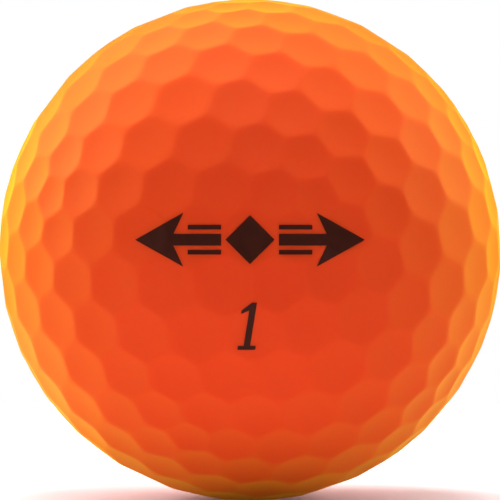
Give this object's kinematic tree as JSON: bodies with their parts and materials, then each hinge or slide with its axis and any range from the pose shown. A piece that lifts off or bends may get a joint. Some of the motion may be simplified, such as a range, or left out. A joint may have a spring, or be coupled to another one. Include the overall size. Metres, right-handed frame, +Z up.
{
  "type": "golf ball",
  "caption": "Matte orange golf ball with hexagonally packed round dimples, a dark alignment print and a play number.",
  "frame": {"origin": "centre of the ball", "axes": "+Z up out of the top of the ball, -Y out of the front print towards the viewer, +X to the right as seen from the front"},
  "size_m": [0.0426, 0.0428, 0.0426],
  "materials": {
    "cover_orange": "matte",
    "mantle_resin": "satin",
    "core_rubber": "matte",
    "print_ink": "satin"
  },
  "bodies": {
    "root": {"core": "core_rubber", "mantle": "mantle_resin", "cover": "cover_orange", "front_mark": "print_ink", "front_number": "print_ink", "back_mark": "print_ink", "back_number": "print_ink"}
  },
  "joints": []
}
